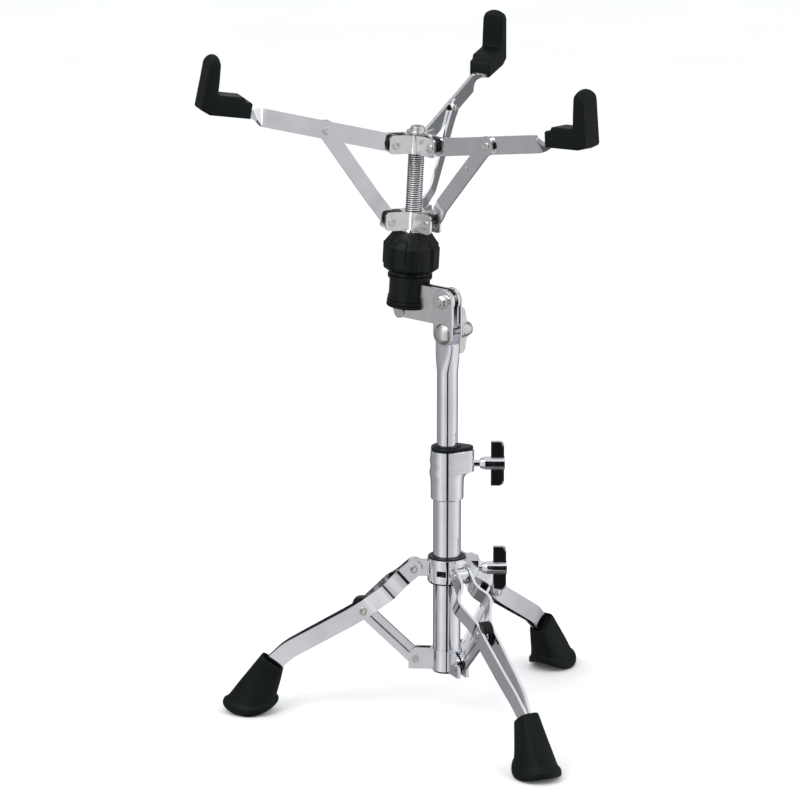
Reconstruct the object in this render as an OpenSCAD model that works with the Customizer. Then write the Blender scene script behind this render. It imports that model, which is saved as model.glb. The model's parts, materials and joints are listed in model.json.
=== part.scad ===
// Double-braced snare drum stand: folding tripod, telescopic tube, tilter and
// three-arm basket. Millimetres, Z up, origin on the floor under the base tube.
// The parts are drawn standing open, with the basket lowered on its knob.

/* [Tubes] */
// Outer diameter of the base tube
base_od = 25.4; // [25:0.1:26]
// Outer diameter of the upper tube
upper_od = 19.05; // [18.8:0.05:19.2]
// Wall thickness of both tubes
tube_wall = 1.5; // [1.2:0.1:1.7]
// Height of the base tube's lower end above the floor
base_bottom = 46; // [45:0.5:46]
// Height of the base tube's upper end
base_top = 236; // [234:1:238]

/* [Tripod] */
// Direction of the left leg, seen from above
left_leg_azimuth = 175.3; // [174:0.1:177]
// Distance of the leg pivots on the sliding collar from the tube axis
collar_pivot_r = 30.1; // [29.5:0.1:31]
// Height of the leg pivots on the sliding collar
collar_pivot_z = 142.2; // [141:0.1:143]
// Distance of the knee pivots, where the stays meet the legs, from the axis
knee_r = 76.3; // [75:0.1:78]
// Height of the knee pivots
knee_z = 101; // [100:0.1:102]
// Distance of the stay pivots on the fixed bracket from the axis
stay_pivot_r = 28.3; // [28:0.1:29]
// Height of the stay pivots on the fixed bracket
stay_pivot_z = 55.9; // [55:0.1:57]

/* [Legs] */
// Height of a leg strip
leg_strip_h = 16; // [15:0.5:16.5]
// Thickness of a leg strip
leg_strip_t = 2.4; // [2:0.1:2.6]
// Half the spacing of a leg's strips at the collar and at the knee
strip_spread = 6.1; // [6:0.05:6.3]
// Half the spacing of a leg's strips where they bow out over the collar
strip_bow = 17; // [14:0.5:18]
// Width of a stay strip
stay_w = 14.5; // [13:0.5:15]
// Thickness of a stay strip
stay_t = 3.4; // [3:0.1:3.6]
// Distance of the middle of each sole from the tube axis
foot_r = 181; // [179:0.5:183]
// Length of the oval sole along the leg
foot_l = 52; // [50:1:54]
// Width of the oval sole across the leg
foot_w = 42; // [40:1:44]

/* [Height clamp] */
// Lower end of the height housing
housing_bottom = 213; // [210:1:215]
// Upper end of the height housing
housing_top = 254; // [252:1:255]
// Outer diameter of the height housing
housing_od = 30; // [29.5:0.1:31]
// Height of the height wing bolt's axis
height_bolt_z = 241; // [240:0.5:242]
// Overall height of the wing bolts' wings
wing_span = 41; // [38:1:43]

/* [Tilter] */
// Direction of the tilter's hinge axis, seen from above
hinge_azimuth = 48; // [47:0.1:49]
// Height of the tilter's hinge
hinge_z = 391.9; // [390:0.1:394]
// Distance of the clamp bolt below the hinge
clamp_drop = 30; // [30:0.1:31]
// Distance of the basket rod's axis from the hinge
rod_offset = 46.3; // [45.5:0.1:47]
// Lean of the basket rod over the column as the tilter is set
rod_lean = 3.8; // [0:0.1:6]

/* [Basket] */
// Diameter of the basket rod
rod_d = 15; // [14.8:0.1:15.2]
// Height of the upper hub's pivots above the hinge, along the rod
top_hub_z = 136.5; // [134:0.1:138]
// Distance between the pivots of the two hubs, along the rod
hub_spacing = 70.5; // [70:0.1:71]
// Distance of the hubs' pivots from the rod's axis
hub_pivot_r = 22.75; // [22:0.05:23.5]
// Directions of the left, right and back arms, seen from above
arm_azimuths = [201.3, 315.4, 69.3];
// Rise of the lowered arms above square to the rod
arm_rise = 12.8; // [10:0.1:16]
// Distance from an arm's pivot to its brace's pivot
arm_brace_l = 66.1; // [64:0.1:68]
// Distance from an arm's pivot to the inner corner of its rubber tip
tip_corner_l = 175.5; // [170:0.5:180]
// Width of an arm strip
arm_w = 16; // [15:0.5:16.5]
// Thickness of an arm strip
arm_t = 3; // [2.6:0.1:3.2]
// Width of a brace strip
brace_w = 14; // [12:0.5:15]
// Thickness of a brace strip
brace_t = 2.4; // [2:0.1:2.6]

/* [Hidden] */
$fn = 64;
// Joint gaps: radial running fit, side clearance and pressed-in clearance
fit = 0.06;
gap = 0.35;
press = 0.03;
cut = 1;

// Rivets and bolts
rivet_r = 2.5;
rivet_head_r = 3.9;
rivet_head_h = 1.1;
m6_r = 3;

// Tripod collar and its liner
collar_r = 17.8;
collar_bottom = 131;
collar_top = 153;
liner_r = 15.2;
collar_lug_half = strip_spread - leg_strip_t / 2 - gap;
collar_block_x = 29;
collar_block_half = 10;

// Fixed stay bracket
bracket_r = 14.2;
bracket_bottom = base_bottom + 0.5;
bracket_top = bracket_bottom + 20;
bracket_ear_end = stay_pivot_r + 6.4;
bracket_ear_in = stay_t / 2 + 0.9;
bracket_ear_out = bracket_ear_in + 3.1;

// Leg path in its own upright plane, as distance from the axis and height
collar_pivot = [collar_pivot_r, collar_pivot_z];
knee = [knee_r, knee_z];
stay_pivot = [stay_pivot_r, stay_pivot_z];
shin_slope = 30.3;
ankle = knee + 81.9 * [cos(shin_slope), -sin(shin_slope)];
toe = ankle + 23 * [cos(45), -sin(45)];
leg_path = [collar_pivot, knee, ankle, toe];
// One strip seen from above: it bows out past the collar and closes to the foot
strip_plan = [
    [collar_pivot_r - 10, strip_spread],
    [collar_pivot_r + 12, strip_spread],
    [collar_pivot_r + 21.7, strip_bow],
    [knee_r - 4.6, strip_spread],
    [knee_r + 10, strip_spread],
    [toe[0] + 12, leg_strip_t / 2 + 0.15]
];

// Feet
mouth = [160.2, 48.5];
mouth_tilt = 33.7;
mouth_l = 23.4;
mouth_w = 17;
sole_t = 4;

// Height clamp
housing_block_x = 24.5;
housing_block_half = 9;
bushing_flange = 3.5;

// Wing bolts
wing_depth = 12;
wing_t = 5;
wing_hub_r = 6;
wing_hub_l = 10;
inlay_t = 0.5;

// Upper tube and clevis
glide_bottom = 122;
upper_bottom = 130;
flat_start = 340;
ear_base = 352;
ear_w = 22.5;
ear_out = 7.3;
ear_t = 2.1;
ear_in = ear_out - ear_t;

// Tilter bracket, measured from the hinge
plate_out = ear_in - gap;
plate_t = 2.3;
plate_in = plate_out - plate_t;
plate_top = 10.8;
plate_drop = 22.3;
plate_end = 62;
plate_screw = [52.9, -17.5];

// Parts on the rod, by height above the hinge along the rod
sleeve_bottom = -14;
sleeve_top = 15.2;
sleeve_neck_r = 18.4;
sleeve_rim_r = 20.2;
sleeve_wall = 1.7;
anchor_top = 12.1;
rod_bottom = 9;
knob_bottom = 15.7;
knob_top = 55.4;
knob_r = 26.3;
knob_lobes = 6;
insert_r = 11.5;

// Hubs
low_hub_z = top_hub_z - hub_spacing;
hub_half_h = 8.4;
hub_core_r = 10.2;
hub_ear_out = 7.3;
hub_ear_t = 2.1;
hub_ear_in = hub_ear_out - hub_ear_t;
rod_r = rod_d / 2;

// Arms and braces
arm_pivot = [hub_pivot_r, top_hub_z];
arm_dir = [cos(arm_rise), sin(arm_rise)];
arm_knee = arm_pivot + arm_brace_l * arm_dir;
brace_foot = [hub_pivot_r, low_hub_z];
brace_vector = arm_knee - brace_foot;
brace_l = norm(brace_vector);
brace_rise = atan2(brace_vector[1], brace_vector[0]);
brace_side = arm_t / 2 + gap + brace_t / 2;
twist_start = tip_corner_l - 52;
twist_l = 18;
tip_w = 20;
ledge_l = 33;
ledge_z = 13.5;
tip_wall_h = 34;
tip_wall_t = 14;
tip_bottom = -4.9;
tip_pitch = 5.5;
tip_lift = 2.8;
tip_step_l = 24.5;
tip_step_h = 3.9;

LEFT = 0;
FRONT = 1;
BACK = 2;
RIGHT = 1;

chrome = [0.82, 0.82, 0.86];
zinc = [0.78, 0.77, 0.74];
black_nylon = [0.05, 0.06, 0.06];
black_rubber = [0.04, 0.07, 0.07];
brass = [0.78, 0.62, 0.32];

// ---- Outlines ----

function unit(v) = v / norm(v);
function at_angle(a) = [cos(a), sin(a)];
function turned(v) = [-v[1], v[0]];
function mitre(points, i, half) =
    let (before = unit(points[max(i, 1)] - points[max(i, 1) - 1]),
         last = len(points) - 1,
         after = unit(points[min(i + 1, last)] - points[min(i + 1, last) - 1]),
         side = unit(turned(before) + turned(after)))
    points[i] + side * half / (side * turned(before));

// Closed outline of a band of even width along a bent line
function band(points, half) = concat(
    [for (i = [0 : len(points) - 1]) mitre(points, i, half)],
    [for (i = [len(points) - 1 : -1 : 0]) mitre(points, i, -half)]
);

// Closed outline of a bar from a to b with round ends
function round_bar(a, b, r) =
    let (heading = atan2(b[1] - a[1], b[0] - a[0]))
    concat(
        [for (turn = [-90 : 7.5 : 90]) b + r * at_angle(heading + turn)],
        [for (turn = [90 : 7.5 : 270]) a + r * at_angle(heading + turn)]
    );

// ---- Placing ----

// An outline drawn as distance and height, given thickness across the plane
module upright(half) {
    rotate([90, 0, 0])
        linear_extrude(2 * half, center = true)
            children();
}

// A pin, bore or rivet across the upright plane
module across(at, r, from, to) {
    translate([at[0], from, at[1]])
        rotate([-90, 0, 0])
            cylinder(r = r, h = to - from);
}

// A cylinder along X at height z
module along_x(r, from, to, z, r2 = 0) {
    translate([from, 0, z])
        rotate([0, 90, 0])
            cylinder(r1 = r, r2 = r2 > 0 ? r2 : r, h = to - from);
}

module on_leg(which) {
    rotate([0, 0, left_leg_azimuth + [0, 120, -120][which]])
        children();
}

// Column frame with X along the tilter's hinge and Z at the hinge
module at_hinge() {
    translate([0, 0, hinge_z])
        rotate([0, 0, hinge_azimuth])
            children();
}

// Frame of the basket rod, with Z along the rod
module on_rod() {
    at_hinge()
        rotate([rod_lean, 0, 0])
            translate([0, rod_offset, 0])
                children();
}

module on_arm_plane(which) {
    on_rod()
        rotate([0, 0, arm_azimuths[which] - hinge_azimuth])
            children();
}

// Frame of one arm, with X along the arm from its pivot
module on_arm(which) {
    on_arm_plane(which)
        translate([arm_pivot[0], 0, arm_pivot[1]])
            rotate([0, -arm_rise, 0])
                children();
}

module on_brace(which) {
    on_arm_plane(which)
        translate([brace_foot[0], 0, brace_foot[1]])
            rotate([0, -brace_rise, 0])
                children();
}

// A rivet across the upright plane, with a head at each end
module rivet(at, half, head_r = rivet_head_r, head_h = rivet_head_h) {
    across(at, rivet_r, -half - cut / 2, half + cut / 2);
    across(at, head_r, half + 0.1, half + 0.1 + head_h);
    across(at, head_r, -half - 0.1 - head_h, -half - 0.1);
}

// ---- Base ----

module base_tube() {
    color(chrome)
        difference() {
            translate([0, 0, base_bottom])
                cylinder(d = base_od, h = base_top - base_bottom);
            translate([0, 0, base_bottom - cut])
                cylinder(d = base_od - 2 * tube_wall, h = base_top - base_bottom + 2 * cut);
        }
}

module base_tube_plug() {
    color(black_nylon) {
        translate([0, 0, base_bottom])
            cylinder(r = base_od / 2 - tube_wall - press, h = 7);
        translate([0, 0, base_bottom - 1.5])
            cylinder(d = base_od - 0.6, h = 1.5);
    }
}

// Block of a clamp toward +X, with its lower corner cut back
module clamp_block(length, half, bottom, top) {
    upright(half)
        difference() {
            translate([0, bottom])
                square([length, top - bottom]);
            translate([length, bottom])
                circle(r = 5);
        }
}

module height_housing() {
    bore_r = base_od / 2 + press;
    color(chrome)
        difference() {
            union() {
                translate([0, 0, housing_bottom])
                    cylinder(d = housing_od, h = housing_top - housing_bottom);
                for (z = [housing_top - 9, housing_top - 17])
                    translate([0, 0, z])
                        cylinder(d = housing_od + 1.6, h = 2.6);
                clamp_block(housing_block_x, housing_block_half, height_bolt_z - 9, housing_top - 0.5);
            }
            translate([0, 0, housing_bottom - cut])
                cylinder(r = bore_r, h = housing_top - housing_bottom + 2 * cut);
            along_x(m6_r + fit, bore_r - cut, housing_block_x + cut, height_bolt_z);
        }
}

module height_bushing() {
    color(black_nylon)
        difference() {
            union() {
                translate([0, 0, base_top + 0.1])
                    cylinder(r = base_od / 2 - press, h = housing_top - base_top);
                translate([0, 0, housing_top + 0.1]) {
                    cylinder(d = housing_od - 0.8, h = bushing_flange);
                    translate([0, -6, 0])
                        cube([housing_block_x - 2, 12, bushing_flange - 1]);
                }
            }
            translate([0, 0, base_top - cut])
                cylinder(r = upper_od / 2 + fit, h = housing_top - base_top + bushing_flange + 3 * cut);
            along_x(4.1, upper_od / 2 + 1.2, base_od / 2 + cut, height_bolt_z);
        }
}

module height_clamp_pad() {
    color(brass)
        along_x(4, upper_od / 2 + 1.25, base_od / 2 - 0.6, height_bolt_z);
}

module stay_bracket() {
    color(chrome)
        difference() {
            union() {
                translate([0, 0, bracket_bottom])
                    cylinder(r = bracket_r, h = bracket_top - bracket_bottom);
                for (leg = [LEFT, FRONT, BACK])
                    on_leg(leg)
                        upright(bracket_ear_out)
                            bracket_ear_outline();
            }
            for (leg = [LEFT, FRONT, BACK])
                on_leg(leg) {
                    translate([bracket_r + 0.6, -bracket_ear_in, bracket_bottom - cut])
                        cube([30, 2 * bracket_ear_in, bracket_top - bracket_bottom + 2 * cut]);
                    across(stay_pivot, rivet_r + press, -bracket_ear_out - cut, bracket_ear_out + cut);
                }
            translate([0, 0, bracket_bottom - cut])
                cylinder(r = base_od / 2 + press, h = bracket_top - bracket_bottom + 2 * cut);
        }
}

// Ear with a rounded upper outer corner, rooted in the ring's wall
module bracket_ear_outline() {
    corner = 8;
    root = base_od / 2 + press + 0.15;
    low = bracket_bottom + 0.3;
    high = bracket_top - 0.3;
    translate([root, low])
        square([bracket_ear_end - root, high - low - corner]);
    translate([root, high - corner - cut])
        square([bracket_ear_end - corner - root, corner + cut]);
    translate([bracket_ear_end - corner, high - corner])
        circle(r = corner);
}

// Short rivets, one in each ear, so that the stay's end hangs free between them
module stay_bracket_rivets() {
    color(zinc)
        for (leg = [LEFT, FRONT, BACK], side = [0, 1])
            on_leg(leg)
                mirror([0, side, 0]) {
                    across(stay_pivot, rivet_r, bracket_ear_in, bracket_ear_out + cut / 2);
                    across(stay_pivot, 3.4, bracket_ear_out + 0.1, bracket_ear_out + 0.9);
                }
}

// ---- Wing bolts ----

module wing_outline(span, depth) {
    corner = 4.5;
    translate([0, -span / 2])
        square([depth - corner, span]);
    translate([0, corner - span / 2])
        square([depth, span - 2 * corner]);
    for (z = [-1, 1])
        translate([depth - corner, z * (span / 2 - corner)])
            circle(r = corner);
}

// Wing bolt along +X, from the tip of its thread to the face of its wing
module wing_bolt(tip_x, wing_x, z) {
    difference() {
        union() {
            along_x(m6_r, tip_x, wing_x - wing_hub_l + cut, z);
            along_x(wing_hub_r - 1.6, wing_x - wing_hub_l, wing_x - wing_hub_l / 2, z, wing_hub_r);
            along_x(wing_hub_r, wing_x - wing_hub_l / 2, wing_x + wing_depth + 0.6, z);
            translate([wing_x, 0, z])
                upright(wing_t / 2)
                    wing_outline(wing_span, wing_depth);
        }
        wing_pockets(wing_x, z, 0);
    }
}

// Pockets for the inlays: one above and one below the hub on each face
module wing_pockets(wing_x, z, shrink) {
    w = wing_depth - 2 - 2 * shrink;
    h = wing_span / 2 - wing_hub_r - 1.9 - 2 * shrink;
    corner = 3.4 - shrink;
    over = shrink > 0 ? 0 : cut;
    for (up = [0, 1], front = [0, 1])
        translate([wing_x + 0.9 + shrink, 0, z])
            mirror([0, 0, up])
                mirror([0, front, 0])
                    translate([0, wing_t / 2 + over, wing_hub_r + 0.6 + shrink])
                        rotate([90, 0, 0])
                            linear_extrude(inlay_t + over) {
                                square([w - corner, h]);
                                square([w, h - corner]);
                                translate([w - corner, h - corner])
                                    circle(r = corner);
                            }
}

height_wing_x = 39.5;
collar_wing_x = 42;

module height_wing_bolt() {
    color(chrome)
        wing_bolt(base_od / 2 - 0.5, height_wing_x, height_bolt_z);
}

module height_wing_inlays() {
    color(black_nylon)
        wing_pockets(height_wing_x, height_bolt_z, press);
}

module collar_wing_bolt() {
    color(chrome)
        wing_bolt(liner_r + 0.5, collar_wing_x, collar_pivot_z);
}

module collar_wing_inlays() {
    color(black_nylon)
        wing_pockets(collar_wing_x, collar_pivot_z, press);
}

// ---- Tripod collar ----

module tripod_collar() {
    color(chrome)
        difference() {
            union() {
                translate([0, 0, collar_bottom])
                    cylinder(r = collar_r, h = collar_top - collar_bottom);
                for (leg = [LEFT, FRONT, BACK])
                    on_leg(leg)
                        upright(collar_lug_half)
                            collar_lug_outline();
                clamp_block(collar_block_x, collar_block_half, collar_bottom + 1.5, collar_top - 1);
            }
            translate([0, 0, collar_bottom - cut])
                cylinder(r = liner_r + press, h = collar_top - collar_bottom + 2 * cut);
            along_x(m6_r + fit, liner_r - cut, collar_block_x + cut, collar_pivot_z);
            translate([-10.5, -collar_r - cut, collar_pivot_z - 4.5])
                cube([9.5, 4, 5.5]);
            for (leg = [LEFT, FRONT, BACK])
                on_leg(leg)
                    across(collar_pivot, rivet_r + press, -collar_lug_half - cut, collar_lug_half + cut);
        }
}

module collar_lug_outline() {
    translate([0, collar_pivot_z - 7])
        square([collar_pivot_r, 14]);
    translate(collar_pivot)
        circle(r = 7);
}

module collar_liner() {
    color(black_nylon)
        difference() {
            union() {
                translate([0, 0, collar_bottom - 1.2])
                    cylinder(r = liner_r, h = collar_top - collar_bottom + 2.4);
                translate([0, 0, collar_top + 0.05])
                    cylinder(r = collar_r - 0.6, h = 1.2);
                translate([0, 0, collar_bottom - 1.25])
                    cylinder(r = collar_r - 0.6, h = 1.2);
            }
            translate([0, 0, collar_bottom - 2 * cut])
                cylinder(r = base_od / 2 + fit, h = collar_top - collar_bottom + 4 * cut);
        }
}

module collar_rivets() {
    color(zinc)
        for (leg = [LEFT, FRONT, BACK])
            on_leg(leg)
                rivet(collar_pivot, strip_spread + leg_strip_t / 2);
}

// ---- Legs ----

// One bowed strip; side is 1 or -1
module leg_strip(side) {
    difference() {
        intersection() {
            upright(strip_bow + leg_strip_t)
                union() {
                    polygon(band(leg_path, leg_strip_h / 2));
                    translate(collar_pivot)
                        circle(r = leg_strip_h / 2);
                }
            linear_extrude(collar_top + 20)
                polygon(band([for (p = strip_plan) [p[0], side * p[1]]], leg_strip_t / 2));
        }
        across(collar_pivot, rivet_r + fit, -20, 20);
        across(knee, rivet_r + press, -20, 20);
    }
}

module leg_strips(which) {
    color(chrome)
        on_leg(which)
            for (side = [-1, 1])
                leg_strip(side);
}

// Nylon saddle between the strips at the knee, with a slot for the stay's end
module leg_spacer(which) {
    half_w = strip_spread - leg_strip_t / 2 - 0.05;
    half_l = 8.5;
    color(black_nylon)
        on_leg(which)
            difference() {
                translate([knee_r, 0, knee_z])
                    rotate([0, shin_slope, 0])
                        upright(half_w) {
                            translate([-half_l, -7.5])
                                square([2 * half_l, 11.5]);
                            translate([0, 4])
                                circle(r = half_l);
                        }
                translate([knee_r, 0, knee_z])
                    rotate([0, shin_slope, 0])
                        translate([-20, -stay_t / 2 - gap, -20])
                            cube([40, stay_t + 2 * gap, 20 + stay_w / 2 + 0.6]);
                across(knee, rivet_r + press, -20, 20);
            }
}

module leg_rivet(which) {
    color(zinc)
        on_leg(which)
            rivet(knee, strip_spread + leg_strip_t / 2);
}

module stay(which) {
    color(chrome)
        on_leg(which)
            difference() {
                upright(stay_t / 2)
                    polygon(round_bar(stay_pivot, knee, stay_w / 2));
                across(stay_pivot, rivet_r + fit, -10, 10);
                across(knee, rivet_r + fit, -10, 10);
            }
}

// Rubber boot on an oval sole, slanted up the leg, with a pocket for the strips
module foot(which) {
    color(black_rubber)
        on_leg(which)
            difference() {
                hull() {
                    translate([foot_r, 0, 0])
                        scale([foot_l / foot_w, 1, 1])
                            cylinder(d = foot_w, h = sole_t, $fn = 32);
                    translate([mouth[0], 0, mouth[1]])
                        rotate([0, -mouth_tilt, 0])
                            translate([-mouth_l / 2, -mouth_w / 2, -3])
                                cube([mouth_l, mouth_w, 3]);
                }
                upright(4.1)
                    polygon(band([ankle - [6, -3.5], ankle, toe + [0.2, -0.2]], leg_strip_h / 2 + 0.1));
            }
}

// ---- Upper tube ----

module tube_glide() {
    color(black_nylon) {
        translate([0, 0, glide_bottom])
            cylinder(r = base_od / 2 - tube_wall - fit, h = upper_bottom - glide_bottom - 0.3);
        translate([0, 0, upper_bottom - cut])
            cylinder(r = upper_od / 2 - tube_wall - 0.3, h = 14);
    }
}

module upper_tube() {
    color(chrome)
        difference() {
            union() {
                translate([0, 0, upper_bottom])
                    cylinder(d = upper_od, h = flat_start - upper_bottom);
                at_hinge()
                    clevis_blank();
            }
            translate([0, 0, upper_bottom - cut])
                cylinder(d = upper_od - 2 * tube_wall, h = flat_start - 14 - upper_bottom);
            at_hinge() {
                translate([-ear_in, -ear_w, ear_base + 1.5 - hinge_z])
                    cube([2 * ear_in, 2 * ear_w, 70]);
                along_x(m6_r + press, -20, 20, 0);
                along_x(m6_r + press, -20, 20, -clamp_drop);
            }
        }
}

// The round tube pressed flat, and the solid block the two ears are cut from
module clevis_blank() {
    foot = flat_start - 1 - hinge_z;
    start = flat_start - hinge_z;
    end = ear_base - hinge_z;
    round_half = upper_od / 2 + 0.2;
    intersection() {
        translate([0, 0, foot])
            cylinder(r1 = upper_od / 2 - 0.3, r2 = 40, h = 80);
        upright(20)
            polygon([
                [-round_half, foot], [round_half, foot], [round_half, start], [ear_out, end],
                [ear_out, ear_w], [-ear_out, ear_w], [-ear_out, end], [-round_half, start]
            ]);
        rotate([0, 0, 90])
            upright(20) {
                polygon([
                    [-round_half, foot], [round_half, foot], [round_half, start], [ear_w / 2, end],
                    [ear_w / 2, 0], [-ear_w / 2, 0], [-ear_w / 2, end], [-round_half, start]
                ]);
                circle(d = ear_w);
            }
    }
}

// Dome-headed clamp bolt below the hinge
module clamp_bolt() {
    dome_r = 9.7;
    dome_h = 4.4;
    color(zinc)
        at_hinge() {
            along_x(m6_r, -ear_out - cut / 2, 20, -clamp_drop);
            translate([-ear_out - 0.1, 0, -clamp_drop])
                rotate([0, -90, 0])
                    intersection() {
                        translate([0, 0, dome_h - (dome_r * dome_r + dome_h * dome_h) / (2 * dome_h)])
                            sphere(r = (dome_r * dome_r + dome_h * dome_h) / (2 * dome_h));
                        cylinder(r = dome_r + cut, h = dome_h + cut);
                    }
        }
}

module hinge_bolt() {
    color(zinc)
        at_hinge() {
            along_x(m6_r, -13.6, ear_out + cut / 2, 0);
            along_x(6.2, ear_out + 0.1, ear_out + 3.6, 0);
        }
}

module hinge_nut() {
    color(zinc)
        at_hinge()
            difference() {
                union() {
                    along_x(6.8, -ear_out - 1.3, -ear_out - 0.1, 0);
                    translate([-ear_out - 5.6, 0, 0])
                        rotate([0, 90, 0])
                            cylinder(r = 5.8, h = 4.4, $fn = 6);
                }
                along_x(m6_r + press, -20, 0, 0);
            }
}

// Cast wing nut on the far end of the clamp bolt
module tilter_wing_nut() {
    nut_span = 42.6;
    color(zinc)
        at_hinge()
            difference() {
                union() {
                    along_x(7.2, ear_out + 0.4, 13.5, -clamp_drop);
                    along_x(7.2, 13.5, 25, -clamp_drop, 4.6);
                    translate([12.5, 0, -clamp_drop])
                        upright(2.4)
                            wing_outline(nut_span, 8.5);
                }
                along_x(m6_r + fit, 0, 21, -clamp_drop);
            }
}

// ---- Tilter ----

module plate_outline() {
    back = -9.5;
    corner = 8;
    difference() {
        union() {
            circle(r = plate_top);
            translate([back, -plate_drop + 2])
                square([20, plate_drop - 2]);
            translate([back + 2, -plate_drop])
                square([plate_end - corner - back - 2, plate_drop + plate_top]);
            translate([plate_end - corner - cut, -plate_drop + corner])
                square([corner + cut, plate_drop - corner + plate_top - 3]);
            translate([plate_end - corner, -plate_drop + corner])
                circle(r = corner);
            translate([back + 2, -plate_drop + 2])
                circle(r = 2);
        }
        translate([back - cut, 0])
            square([-back + cut - plate_top + 8, 20]);
    }
    circle(r = plate_top);
}

// Both tilter plates stand square to the hinge
module tilter_plates() {
    color(chrome)
        at_hinge()
            difference() {
                for (side = [0, 1])
                    mirror([side, 0, 0])
                        translate([plate_in, 0, 0])
                            rotate([90, 0, 90])
                                linear_extrude(plate_t)
                                    plate_outline();
                along_x(m6_r + fit, -20, 20, 0);
                translate([0, plate_screw[0], 0])
                    along_x(m6_r + press, -20, 20, plate_screw[1]);
            }
}

// Steel web between the plates, with a round head that holds the rod
module rod_anchor() {
    web_half = plate_in - 0.05;
    color(zinc)
        difference() {
            union() {
                on_rod() {
                    translate([-web_half, -8, -20])
                        cube([2 * web_half, 20, 28.4]);
                    translate([0, 0, 8.3])
                        cylinder(r = 12, h = anchor_top - 8.3);
                }
                at_hinge()
                    translate([0, plate_screw[0], 0])
                        along_x(5.5, -web_half, web_half, plate_screw[1]);
            }
            at_hinge()
                translate([0, plate_screw[0], 0])
                    along_x(m6_r + press, -20, 20, plate_screw[1]);
            on_rod()
                translate([0, 0, rod_bottom])
                    cylinder(r = rod_r + press, h = 10);
        }
}

module tilter_screw() {
    color(zinc)
        at_hinge()
            translate([0, plate_screw[0], 0]) {
                along_x(m6_r, -plate_out - cut / 2, plate_out + 3, plate_screw[1]);
                along_x(5.4, -plate_out - 2.6, -plate_out - 0.1, plate_screw[1], 5.6);
                along_x(5.2, plate_out + 0.1, plate_out + 3.4, plate_screw[1]);
            }
}

// Black cover over the rod's foot, slotted on the side of the column
module socket_sleeve() {
    color(black_nylon)
        on_rod()
            difference() {
                rotate_extrude()
                    difference() {
                        union() {
                            translate([0, sleeve_bottom])
                                square([sleeve_neck_r, sleeve_top - sleeve_bottom]);
                            translate([0, sleeve_top - 3])
                                square([sleeve_rim_r, 3]);
                            for (z = [0, 3.4, 6.8])
                                translate([0, sleeve_bottom + z])
                                    square([sleeve_rim_r - z / 8, 2.2]);
                        }
                        translate([0, sleeve_bottom - cut])
                            square([sleeve_neck_r - sleeve_wall, anchor_top + 0.1 - sleeve_bottom + cut]);
                        square([rod_r + 0.5, sleeve_top + cut]);
                    }
                translate([-plate_out - gap, -2 * sleeve_rim_r, sleeve_bottom - cut])
                    cube([2 * (plate_out + gap), 2 * sleeve_rim_r, plate_top + 0.6 - sleeve_bottom]);
            }
}

// ---- Basket core ----

module basket_rod() {
    color(chrome)
        on_rod()
            difference() {
                translate([0, 0, rod_bottom])
                    cylinder(r = rod_r, h = top_hub_z + hub_half_h + 1 - rod_bottom);
                translate([0, 0, top_hub_z - 10])
                    cylinder(r = 4 + press, h = 30);
            }
}

// Three-way hub: a sleeve on the rod with a pair of ears for each arm
module hub(z, bore_r) {
    difference() {
        union() {
            translate([0, 0, z - hub_half_h])
                cylinder(r = hub_core_r, h = 2 * hub_half_h);
            for (azimuth = arm_azimuths)
                rotate([0, 0, azimuth - hinge_azimuth])
                    upright(hub_ear_out)
                        hub_ear_outline(z);
        }
        for (azimuth = arm_azimuths)
            rotate([0, 0, azimuth - hinge_azimuth]) {
                translate([hub_core_r + 1.5, -hub_ear_in, z - 3 * hub_half_h])
                    cube([40, 2 * hub_ear_in, 6 * hub_half_h]);
                across([hub_pivot_r, z], rivet_r + press, -20, 20);
            }
        translate([0, 0, z - 20])
            cylinder(r = bore_r, h = 40);
    }
}

// Ear with rounded corners, rooted in the hub's core
module hub_ear_outline(z) {
    corner = 3.6;
    root = hub_core_r / 2;
    end = hub_pivot_r + 6;
    translate([root, z - hub_half_h])
        square([end - corner - root, 2 * hub_half_h]);
    translate([root, z - hub_half_h + corner])
        square([end - root, 2 * (hub_half_h - corner)]);
    for (up = [-1, 1])
        translate([end - corner, z + up * (hub_half_h - corner)])
            circle(r = corner);
}

module top_hub() {
    color(chrome)
        on_rod()
            hub(top_hub_z, rod_r + press);
}

module top_hub_rivets() {
    color(zinc)
        on_rod()
            for (azimuth = arm_azimuths)
                rotate([0, 0, azimuth - hinge_azimuth])
                    rivet([hub_pivot_r, top_hub_z], hub_ear_out);
}

module top_screw() {
    seat = top_hub_z + hub_half_h + 1.1;
    color(zinc)
        on_rod()
            difference() {
                union() {
                    translate([0, 0, seat - 11])
                        cylinder(r = 4, h = 12);
                    translate([0, 0, seat])
                        cylinder(r = 9.6, h = 1.6);
                    translate([0, 0, seat + 1.5])
                        cylinder(r1 = 7, r2 = 6, h = 4);
                }
                translate([0, 0, seat + 3.2])
                    for (turn = [0, 90])
                        rotate([0, 0, turn])
                            translate([-3.4, -0.7, 0])
                                cube([6.8, 1.4, 5]);
            }
}

module lower_hub() {
    color(chrome)
        on_rod()
            difference() {
                union() {
                    hub(low_hub_z, rod_r + 0.25);
                    translate([0, 0, knob_top + gap])
                        cylinder(r = 11.5, h = low_hub_z - hub_half_h - knob_top);
                }
                translate([0, 0, knob_top - cut])
                    cylinder(r = rod_r + 0.25, h = 10);
            }
}

// Short rivets in the lower hub's ears; the braces' ends hang free between them
module lower_hub_rivets() {
    color(zinc)
        on_rod()
            for (azimuth = arm_azimuths, side = [0, 1])
                rotate([0, 0, azimuth - hinge_azimuth])
                    mirror([0, side, 0]) {
                        across([hub_pivot_r, low_hub_z], rivet_r, hub_ear_in, hub_ear_out + cut / 2);
                        across([hub_pivot_r, low_hub_z], rivet_head_r, hub_ear_out + 0.1, hub_ear_out + 1.2);
                    }
}

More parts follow.
